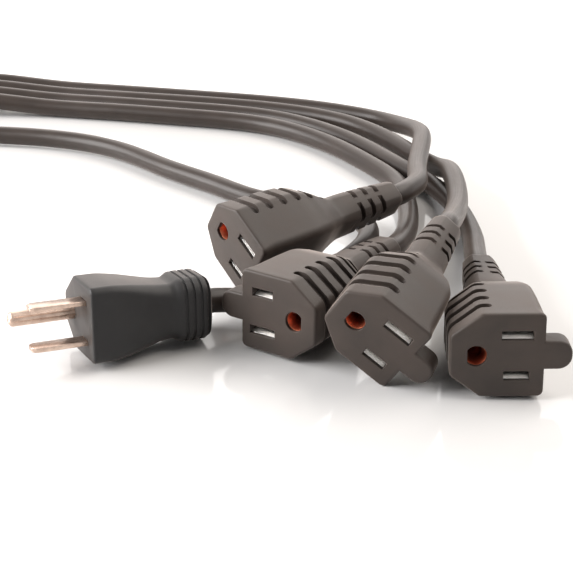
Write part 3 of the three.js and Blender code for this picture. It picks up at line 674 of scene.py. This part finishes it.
def evenly(line, step):
    """Points at even distances along line, about step apart."""
    total = line_length(line)
    count = max(2, round(total / step))
    want = total / count
    result = [line[0]]
    gone = 0.0
    target = want
    for a, b in zip(line, line[1:]):
        length = (b - a).length
        while gone + length >= target and len(result) < count:
            result.append(a.lerp(b, (target - gone) / length))
            target += want
        gone += length
    result.append(line[-1])
    return result


def relaxed(line, passes=8, held=5):
    """The line with its small kinks drawn out, as a thick cord lies; the ends stay."""
    for _ in range(passes):
        inner = [line[i] * 0.5 + (line[i - 1] + line[i + 1]) * 0.25 for i in range(held, len(line) - held)]
        line = line[:held] + inner + line[-held:]
    return line


def tube(name, line, radius, sides):
    """A closed tube along line, with UVs that run round and along it in millimetres."""
    verts, along = [], [0.0]
    tangent = (line[1] - line[0]).normalized()
    side = tangent.cross(Vector((0, 0, 1))).normalized()
    for i, p in enumerate(line):
        ahead = line[min(i + 1, len(line) - 1)] - line[max(i - 1, 0)]
        turn = tangent.rotation_difference(ahead.normalized())
        side = (turn @ side).normalized()
        tangent = ahead.normalized()
        up = tangent.cross(side)
        if i:
            along.append(along[-1] + (p - line[i - 1]).length)
        for k in range(sides):
            angle = 2 * math.pi * k / sides
            verts.append(p + radius * (math.cos(angle) * side + math.sin(angle) * up))
    faces, uvs = [], []
    for i in range(len(line) - 1):
        for k in range(sides):
            j = (k + 1) % sides
            a, b = i * sides, (i + 1) * sides
            faces.append((a + k, a + j, b + j, b + k))
            u, v = k / sides, (k + 1) / sides
            uvs += [(u, along[i]), (v, along[i]), (v, along[i + 1]), (u, along[i + 1])]
    faces += [tuple(range(sides - 1, -1, -1)), tuple(range((len(line) - 1) * sides, len(line) * sides))]
    uvs += [(0, 0)] * (2 * sides)
    obj = closed_mesh(name, verts, faces)
    layer = obj.data.uv_layers.new(name="along")
    for loop, uv in zip(layer.data, uvs):
        loop.uv = uv
    return obj


# Cord routes from the connectors to the junction, in the layout frame of the photograph
ROUTES = {
    "receptacle_1": [
        (46.2, 464.5, 18.8), (50, 473.5, 17.4), (51.6, 484, 15.8), (52.2, 495, 14.4), (53.2, 506, 13.5),
        (55, 519, 12.9), (57.5, 535, 12.7), (59.5, 550, 12.4), (59, 565, 10), (54.5, 583, 6.5),
        (43.5, 601, 4.3), (26, 612.5, 4.3), (8, 621, 4.3), (-12, 628, 4.3), (-40, 635.5, 4.3),
        (-80, 645.5, 4.3), (-115, 654, 4.3)],
    "receptacle_2": [
        (43, 444, 7.4), (46, 461, 5), (47.6, 478, 4.3), (47.8, 494, 4.3), (46.8, 506, 4.3),
        (44, 517, 4.3), (40, 526, 4.3), (35.2, 535.5, 4.3), (27.5, 550, 4.3), (17, 566, 4.3),
        (3, 581.5, 4.3), (-10, 591.5, 4.3), (-26, 598.5, 4.3), (-50, 605, 4.3), (-80, 612.5, 4.3),
        (-115, 620, 4.3)],
    "receptacle_3": [
        (57.5, 427, 20.5), (61, 443, 17), (64, 459, 14.2), (66, 475, 12.9), (66.8, 490, 12.8),
        (66.6, 503, 12.4), (65.8, 516, 9), (63.6, 529, 5.2), (59, 541, 4.3), (53.5, 553, 4.3),
        (48.5, 565, 4.3), (42, 577, 4.3), (33, 590, 4.3), (21, 601, 4.3), (7, 609.5, 4.3),
        (-12, 617.5, 4.3), (-40, 625.5, 4.3), (-80, 634.5, 4.3), (-115, 643, 4.3)],
    "receptacle_4": [
        (67, 430, 7.6), (69, 447, 5.2), (69, 464, 4.2), (67.5, 481, 4.3), (64.2, 496, 4.3),
        (59.8, 509, 4.3), (54.6, 519.5, 4.3), (49, 530, 4.3), (43.6, 541, 4.3), (37.5, 553, 4.3),
        (30, 566, 4.3), (21.5, 577.5, 4.3), (11.5, 588.5, 4.3), (-1, 599, 4.3), (-20, 608.5, 4.3),
        (-47, 616, 4.3), (-80, 624, 4.3), (-115, 632, 4.3)],
    "plug": [
        (-15, 387.3, 8.4), (-2.6, 395.5, 5.2), (8, 411, 4.3), (15, 420.5, 4.3), (21.2, 429.5, 4.3),
        (27, 440, 4.3), (30.8, 451, 4.3), (31, 463, 4.3), (26, 474, 4.3), (16, 481.5, 4.3),
        (3, 485, 4.3), (-9, 489.5, 4.3), (-20, 499, 4.3), (-29, 509, 4.3), (-41, 520, 4.3),
        (-52, 530.5, 4.3), (-62, 542, 4.3), (-74, 554, 4.3), (-90, 564.5, 4.3), (-112, 572.5, 4.3),
        (-140, 577, 4.3), (-172, 578, 4.3), (-206, 578, 4.3), (-228, 578.8, 4.3), (-246.5, 584.8, 4.3),
        (-259, 596, 4.5), (-264, 610, 5), (-261.5, 624, 5.8), (-253.5, 634.5, 6.6)],
}
TAIL_ORDER = ["receptacle_1", "receptacle_3", "receptacle_4", "receptacle_2"]
CORD_NODES = {"receptacle_1": "tail_cord_1", "receptacle_2": "tail_cord_2", "receptacle_3": "tail_cord_3",
              "receptacle_4": "tail_cord_4", "plug": "lead_cord"}


def placing(place):
    """The matrix that stands a connector where it lies, from local millimetres to row millimetres."""
    origin, angles = PLACES[place]
    yaw, tilt, roll = (math.radians(a) for a in angles)
    turn = (Quaternion((0, 0, 1), yaw) @ Quaternion((1, 0, 0), tilt) @ Quaternion((0, 1, 0), roll)
            @ Quaternion((1, 0, 0), math.pi / 2))
    return Matrix.Translation(origin) @ turn.to_matrix().to_4x4()


def cord_line(place):
    """A cord's centre line from inside its connector to the junction, and the point where it comes out."""
    matrix = placing(place)
    length = PLUG_LENGTH if place == "plug" else HOUSING_LENGTH
    axis = [matrix @ Vector((CORD_AXIS_X, 0, -length - out)) for out in (SEAT_GAP, CORD_STRAIGHT_OUT)]
    middle = [Vector(p) - LAYOUT_CENTRE for p in ROUTES[place]]
    side, tip, y = (-1, JUNCTION_LENGTH / 2 + LEAD_STUB, 0.0) if place == "plug" else (
        1, JUNCTION_LENGTH / 2 + TAIL_STUB, tail_y(TAIL_ORDER.index(place)))
    end = [JUNCTION + Vector((side * (tip + 8), y, CORD_LEVEL - 0.4)),
           JUNCTION + Vector((side * (tip + 1), y, CORD_LEVEL)),
           JUNCTION + Vector((side * (tip - STUB_BORE + SEAT_GAP), y, CORD_LEVEL))]
    line = catmull(axis + middle + end)
    hidden = matrix @ Vector((CORD_AXIS_X, 0, -length + CORD_HIDDEN))
    return [hidden] + line, axis[0]


# Materials
PVC_SHEEN_TINT = (1.0, 0.86, 0.78, 1)


def new_material(name):
    material = bpy.data.materials.new(name)
    material.use_nodes = True
    tree = material.node_tree
    return material, tree, tree.nodes["Principled BSDF"]


def add(tree, kind, **values):
    node = tree.nodes.new(kind)
    for key, value in values.items():
        if hasattr(node, key):
            setattr(node, key, value)
        else:
            node.inputs[key.replace("_", " ")].default_value = value
    return node


def scaled(tree, vector, scale):
    mapping = tree.nodes.new("ShaderNodeMapping")
    mapping.inputs["Scale"].default_value = scale
    tree.links.new(vector, mapping.inputs["Vector"])
    return mapping.outputs["Vector"]


def place_coords(tree, scale=(1, 1, 1)):
    source = add(tree, "ShaderNodeAttribute", attribute_name="local")
    return scaled(tree, source.outputs["Vector"], scale)


def uv_coords(tree, scale):
    source = add(tree, "ShaderNodeUVMap", uv_map="along")
    return scaled(tree, source.outputs["UV"], scale)


def noise(tree, coords, scale, detail=3.0, rough=0.5):
    node = add(tree, "ShaderNodeTexNoise", Scale=scale, Detail=detail, Roughness=rough)
    tree.links.new(coords, node.inputs["Vector"])
    return node.outputs["Fac"]


def ramp(tree, fac, low, high):
    node = tree.nodes.new("ShaderNodeValToRGB")
    node.color_ramp.elements[0].position = 0.3
    node.color_ramp.elements[1].position = 0.7
    node.color_ramp.elements[0].color = (*low, 1)
    node.color_ramp.elements[1].color = (*high, 1)
    tree.links.new(fac, node.inputs["Fac"])
    return node.outputs["Color"]


def spread(tree, fac, low, high):
    node = add(tree, "ShaderNodeMapRange", To_Min=low, To_Max=high, From_Min=0.3, From_Max=0.7)
    tree.links.new(fac, node.inputs["Value"])
    return node.outputs["Result"]


def bumps(tree, shader, layers, bevel=0.0):
    """Chains bump layers (height, distance in metres, strength), over soft edges where bevel is set."""
    normal = None
    if bevel:
        node = tree.nodes.new("ShaderNodeBevel")
        node.samples = 4
        node.inputs["Radius"].default_value = bevel
        normal = node.outputs["Normal"]
    for height, distance, strength in layers:
        node = add(tree, "ShaderNodeBump", Distance=distance, Strength=strength)
        tree.links.new(height, node.inputs["Height"])
        if normal:
            tree.links.new(normal, node.inputs["Normal"])
        normal = node.outputs["Normal"]
    tree.links.new(normal, shader.inputs["Normal"])


def housing_material(name, dark, light):
    material, tree, shader = new_material(name)
    coords = place_coords(tree)
    cloud = noise(tree, coords, 0.09, 3)
    grain = noise(tree, coords, 3.2, 4, 0.6)
    tree.links.new(ramp(tree, cloud, dark, light), shader.inputs["Base Color"])
    mix = add(tree, "ShaderNodeMath", operation="ADD")
    tree.links.new(spread(tree, cloud, 0.46, 0.54), mix.inputs[0])
    tree.links.new(spread(tree, grain, -0.03, 0.05), mix.inputs[1])
    tree.links.new(mix.outputs[0], shader.inputs["Roughness"])
    shader.inputs["Specular IOR Level"].default_value = 0.35
    shader.inputs["Sheen Weight"].default_value = 0.45
    shader.inputs["Sheen Roughness"].default_value = 0.3
    shader.inputs["Sheen Tint"].default_value = PVC_SHEEN_TINT
    bumps(tree, shader, [(grain, 0.00004, 0.35), (cloud, 0.0006, 0.12)], 0.00035)
    return material


def cord_material():
    material, tree, shader = new_material("cord_pvc")
    around = uv_coords(tree, (60, 0.05, 1))
    cloud = noise(tree, uv_coords(tree, (3, 0.06, 1)), 1.0, 2)
    streak = noise(tree, around, 1.0, 2)
    grain = noise(tree, uv_coords(tree, (75, 3, 1)), 1.0, 3, 0.6)
    colour = ramp(tree, cloud, (0.027, 0.0195, 0.0160), (0.039, 0.0280, 0.0230))
    tree.links.new(colour, shader.inputs["Base Color"])
    tree.links.new(spread(tree, streak, 0.34, 0.44), shader.inputs["Roughness"])
    shader.inputs["Specular IOR Level"].default_value = 0.32
    shader.inputs["Sheen Weight"].default_value = 0.2
    shader.inputs["Sheen Roughness"].default_value = 0.4
    shader.inputs["Sheen Tint"].default_value = PVC_SHEEN_TINT
    bumps(tree, shader, [(streak, 0.00003, 0.3), (grain, 0.00003, 0.25), (cloud, 0.0006, 0.3)])
    return material


def metal_material(name, dark, light, rough, streaks):
    material, tree, shader = new_material(name)
    brushed = noise(tree, place_coords(tree, streaks), 1.0, 4, 0.6)
    cloud = noise(tree, place_coords(tree), 0.35, 3)
    tree.links.new(ramp(tree, cloud, dark, light), shader.inputs["Base Color"])
    shader.inputs["Metallic"].default_value = 1.0
    tree.links.new(spread(tree, brushed, *rough), shader.inputs["Roughness"])
    bumps(tree, shader, [(brushed, 0.00003, 0.3)], 0.0002)
    return material


def floor_material():
    material, tree, shader = new_material("pale_floor")
    source = tree.nodes.new("ShaderNodeTexCoord")
    cloud = noise(tree, source.outputs["Object"], 4.0, 3)
    tree.links.new(ramp(tree, cloud, (0.86, 0.86, 0.86), (0.88, 0.88, 0.88)), shader.inputs["Base Color"])
    tree.links.new(spread(tree, cloud, 0.07, 0.1), shader.inputs["Roughness"])
    return material


# One black PVC in a lit and a shaded copy. The receptacle and junction housing PVC is lighter and warm
# brown-grey: partly the plastic's own dark tone, partly painted light for the lit faces and the warm-lit
# tops. The plug housing PVC is a darker, neutral copy: painted shade for the plug's shaded sides.
HOUSING_PVC_LIT_COPY = housing_material("moulded_pvc_lit_copy", (0.048, 0.0375, 0.0320), (0.066, 0.0500, 0.0420))
PLUG_PVC_SHADED_COPY = housing_material("plug_pvc_shaded_copy", (0.0185, 0.0175, 0.0178), (0.027, 0.0255, 0.0255))
CORD = cord_material()
BLADE = metal_material("plated_blade", (0.50, 0.36, 0.29), (0.72, 0.56, 0.46), (0.22, 0.36), (9, 9, 0.4))
CONTACT = metal_material("contact_strip", (0.82, 0.80, 0.78), (0.97, 0.96, 0.94), (0.3, 0.42), (6, 6, 0.6))
COPPER = metal_material("copper_contact", (0.34, 0.085, 0.045), (0.56, 0.18, 0.10), (0.36, 0.48), (3, 3, 3))


def placed(obj, matrix, material, node, shift, sharp=38):
    """Keeps the local place of every vertex for the textures, then puts the piece in its place."""
    mesh = obj.data
    values = [c for v in mesh.vertices for c in (v.co + shift)]
    mesh.attributes.new("local", "FLOAT_VECTOR", "POINT").data.foreach_set("vector", values)
    mesh.transform(Matrix.Scale(MM, 4) @ matrix)
    mesh.polygons.foreach_set("use_smooth", [True] * len(mesh.polygons))
    mesh.set_sharp_from_angle(angle=math.radians(sharp))
    mesh.materials.clear()
    mesh.materials.append(material)
    mesh.update()
    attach(obj, "root")
    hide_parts(node)


# Camera, at the photograph's angle
camera_data = bpy.data.cameras.new("camera")
camera_data.sensor_width = 36.0
camera_data.lens = 82.18
camera_data.clip_start = 0.01
camera = bpy.data.objects.new("camera", camera_data)
camera.location = (0.075035, -0.500217, 0.1881)
camera.rotation_euler = (math.radians(90 - 24.30), 0, 0)
bpy.context.scene.collection.objects.link(camera)
bpy.context.scene.camera = camera

# Cords
for place, node in CORD_NODES.items():
    raw, start = cord_line(place)
    line = relaxed(evenly(raw, CORD_STEP))
    obj = tube(node + "_visual", line, CORD_RADIUS, 28)
    placed(obj, Matrix.Identity(4), CORD, node, Vector(), 60)

# Receptacles
housing = receptacle_housing()
for index, place in enumerate(p for p in PLACES if p != "plug"):
    matrix = placing(place)
    shift = Vector((37.0, 11.0, 53.0)) * index
    copy = bpy.data.objects.new(place + "_housing_visual", housing.data.copy())
    bpy.context.scene.collection.objects.link(copy)
    placed(copy, matrix, HOUSING_PVC_LIT_COPY, place + "_housing", shift)
    for kind, y, length in SLOTS:
        strip = blade_contact(f"{place}_{kind}_contact_visual", y, length)
        placed(strip, matrix, CONTACT, f"{place}_{kind}_contact", shift)
    tube_contact = ground_contact(place + "_ground_contact_visual")
    placed(tube_contact, matrix, COPPER, place + "_ground_contact", shift)
bpy.data.objects.remove(housing)

# Plug
matrix = placing("plug")
shell = plug_housing()
shell.name = "plug_housing_visual"
placed(shell, matrix, PLUG_PVC_SHADED_COPY, "plug_housing", Vector((5, 90, 5)))
for kind, side in (("neutral", 1), ("hot", -1)):
    leaf = blade(f"plug_{kind}_blade_visual", side * BLADE_SPACING / 2)
    placed(leaf, matrix, BLADE, f"plug_{kind}_blade", Vector((side * 20, 0, 0)))
pin = ground_pin("plug_ground_pin_visual")
placed(pin, matrix, BLADE, "plug_ground_pin", Vector((7, 7, 7)))

# Junction; its splices stay as the frame has them
body = junction_housing()
body.name = "junction_housing_visual"
placed(body, Matrix.Translation(JUNCTION), HOUSING_PVC_LIT_COPY, "junction_housing", Vector((80, 3, 9)))
for kind in ("hot", "ground", "neutral"):
    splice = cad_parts[f"junction_{kind}_splice"]
    splice.data.materials.clear()
    splice.data.materials.append(COPPER)

# Floor
FLOOR_HALF = 4.0
FLOOR_LEVEL = -0.0002
corners = [(x * FLOOR_HALF, y * FLOOR_HALF, 0) for x, y in ((-1, -1), (1, -1), (1, 1), (-1, 1))]
floor = closed_mesh("floor", corners, [(0, 1, 2, 3)])
floor.location.z = FLOOR_LEVEL
floor.data.materials.append(floor_material())


# Lights
def softbox(name, place, target, width, height, radiance, colour):
    data = bpy.data.lights.new(name, "AREA")
    data.shape = "RECTANGLE"
    data.size = width
    data.size_y = height
    data.energy = radiance * math.pi * width * height
    data.color = colour
    obj = bpy.data.objects.new(name, data)
    obj.location = place
    obj.rotation_euler = (Vector(target) - Vector(place)).to_track_quat("-Z", "Y").to_euler()
    bpy.context.scene.collection.objects.link(obj)


softbox("back_softbox", (0.08, 1.30, 0.72), (0.08, -0.1, 0.0),
        width=1.9, height=1.15, radiance=1.5, colour=(1.0, 0.95, 0.91))
softbox("left_softbox", (-0.80, -0.15, 0.42), (0.08, -0.12, 0.0),
        width=0.8, height=0.6, radiance=12.0, colour=(1.0, 0.98, 0.97))
softbox("right_softbox", (0.60, 0.10, 0.70), (0.08, -0.08, 0.0),
        width=0.9, height=0.7, radiance=3.4, colour=(1.0, 0.93, 0.86))

# The studio round the part: pale where it is seen, dim where it lights
SEEN_STRENGTH = 0.85
LIGHTING_STRENGTH = 0.12
world = bpy.data.worlds.new("studio")
world.use_nodes = True
tree = world.node_tree
tree.nodes["Background"].inputs["Color"].default_value = (1, 1, 1, 1)
rays = tree.nodes.new("ShaderNodeLightPath")
seen = None
for kind in ("Is Camera Ray", "Is Glossy Ray", "Is Transmission Ray"):
    if seen:
        either = add(tree, "ShaderNodeMath", operation="MAXIMUM")
        tree.links.new(seen, either.inputs[0])
        tree.links.new(rays.outputs[kind], either.inputs[1])
        seen = either.outputs[0]
    else:
        seen = rays.outputs[kind]
level = add(tree, "ShaderNodeMapRange", To_Min=LIGHTING_STRENGTH, To_Max=SEEN_STRENGTH)
tree.links.new(seen, level.inputs["Value"])
tree.links.new(level.outputs["Result"], tree.nodes["Background"].inputs["Strength"])
bpy.context.scene.world = world
bpy.context.scene.view_settings.view_transform = "Standard"
